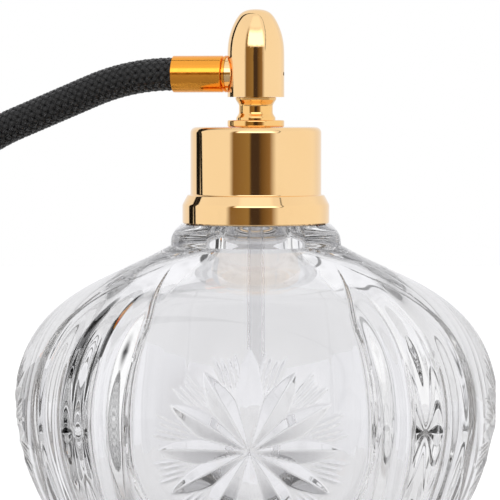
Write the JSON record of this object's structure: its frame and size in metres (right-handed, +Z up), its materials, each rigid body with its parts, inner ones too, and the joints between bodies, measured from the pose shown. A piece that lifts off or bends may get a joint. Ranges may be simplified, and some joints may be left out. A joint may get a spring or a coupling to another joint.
{
  "type": "bulb perfume atomiser",
  "caption": "Cut-crystal perfume bottle with a gold screw closure, a swivelling bullet-shaped spray head, a black braided hose and a squeeze bulb.",
  "frame": {"origin": "centre of the bottle's flat base", "axes": "+Z up the bottle's axis; -Y is the side with the middle star panel; the hose leaves towards -X, swung a little to +Y"},
  "size_m": [0.1668, 0.0986, 0.123],
  "materials": {
    "crystal": "polished, wheel-cut",
    "gold_plate": "polished pale gold plate",
    "rose_gold": "polished, deeper gold",
    "plain_brass": "turned",
    "steel": "bright",
    "white_plastic": "moulded",
    "clear_plastic": "translucent, extruded",
    "seal_rubber": "soft",
    "bulb_rubber": "moulded",
    "black_braid": "braided silk thread"
  },
  "bodies": {
    "bottle": {"bottle_glass": "crystal", "neck_ring": "plain_brass"},
    "gasket": {"neck_gasket": "seal_rubber"},
    "closure": {"closure_insert": "white_plastic", "collar_shell": "gold_plate"},
    "head": {"stem": "gold_plate", "stem_clip": "steel", "riser_tube": "clear_plastic", "dip_tube": "clear_plastic", "head_body": "gold_plate", "nozzle_tip": "gold_plate", "liquid_jet": "plain_brass", "hose_connector": "rose_gold", "head_ferrule": "rose_gold", "hose_tube_upper": "seal_rubber", "hose_braid_upper": "black_braid"},
    "hose middle": {"hose_tube_middle": "seal_rubber", "hose_braid_middle": "black_braid"},
    "bulb": {"hose_tube_lower": "seal_rubber", "hose_braid_lower": "black_braid", "bulb_ferrule": "rose_gold", "outlet_body": "rose_gold", "outlet_seat": "plain_brass", "outlet_stop_pin": "steel", "bulb": "bulb_rubber", "bulb_net": "black_braid", "front_binding": "black_braid"},
    "tail fitting": {"intake_body": "rose_gold", "intake_seat": "plain_brass", "intake_stop_pin": "steel", "tail_binding": "black_braid"},
    "outlet ball": {"outlet_ball": "steel"},
    "intake ball": {"intake_ball": "steel"}
  },
  "joints": [
    {"name": "closure_lift", "type": "slide", "parent": "bottle", "child": "gasket", "axis": [0, 0, 1], "range_m": [0, 0.0045]},
    {"name": "closure_turn", "type": "hinge", "parent": "gasket", "child": "closure", "pos_m": [0, 0, 0.092], "axis": [0, 0, 1], "range_deg": [0, 540]},
    {"name": "head_swivel", "type": "hinge", "parent": "gasket", "child": "head", "pos_m": [0, 0, 0.099], "axis": [0, 0, 1], "continuous": true},
    {"name": "hose_bend", "type": "hinge", "parent": "head", "child": "hose middle", "pos_m": [-0.03761, 0.00799, 0.10475], "axis": [0.2079, 0.9781, 0], "range_deg": [-6, 25], "stiffness_Nm_per_rad": 0.3},
    {"name": "hose_curl", "type": "hinge", "parent": "hose middle", "child": "bulb", "pos_m": [-0.06419, 0.01364, 0.0894], "axis": [0.2079, 0.9781, 0], "range_deg": [-6, 25], "stiffness_Nm_per_rad": 0.3},
    {"name": "bulb_squeeze", "type": "slide", "parent": "bulb", "child": "tail fitting", "axis": [0.4517, -0.096, 0.887], "range_m": [0, 0.012], "stiffness_N_per_m": 400, "deforming": ["bulb", "bulb_net"]},
    {"name": "outlet_valve", "type": "slide", "parent": "bulb", "child": "outlet ball", "axis": [0.4517, -0.096, 0.887], "range_m": [0, 0.0008]},
    {"name": "intake_valve", "type": "slide", "parent": "tail fitting", "child": "intake ball", "axis": [0.4517, -0.096, 0.887], "range_m": [0, 0.0008]}
  ],
  "couplings": [
    {"joint": "closure_turn", "follows": "closure_lift", "rad_per_m": 2094.4},
    {"joint": "hose_curl", "follows": "hose_bend", "ratio": 1},
    {"joint": "outlet_valve", "follows": "bulb_squeeze", "ratio": 0.066667}
  ]
}
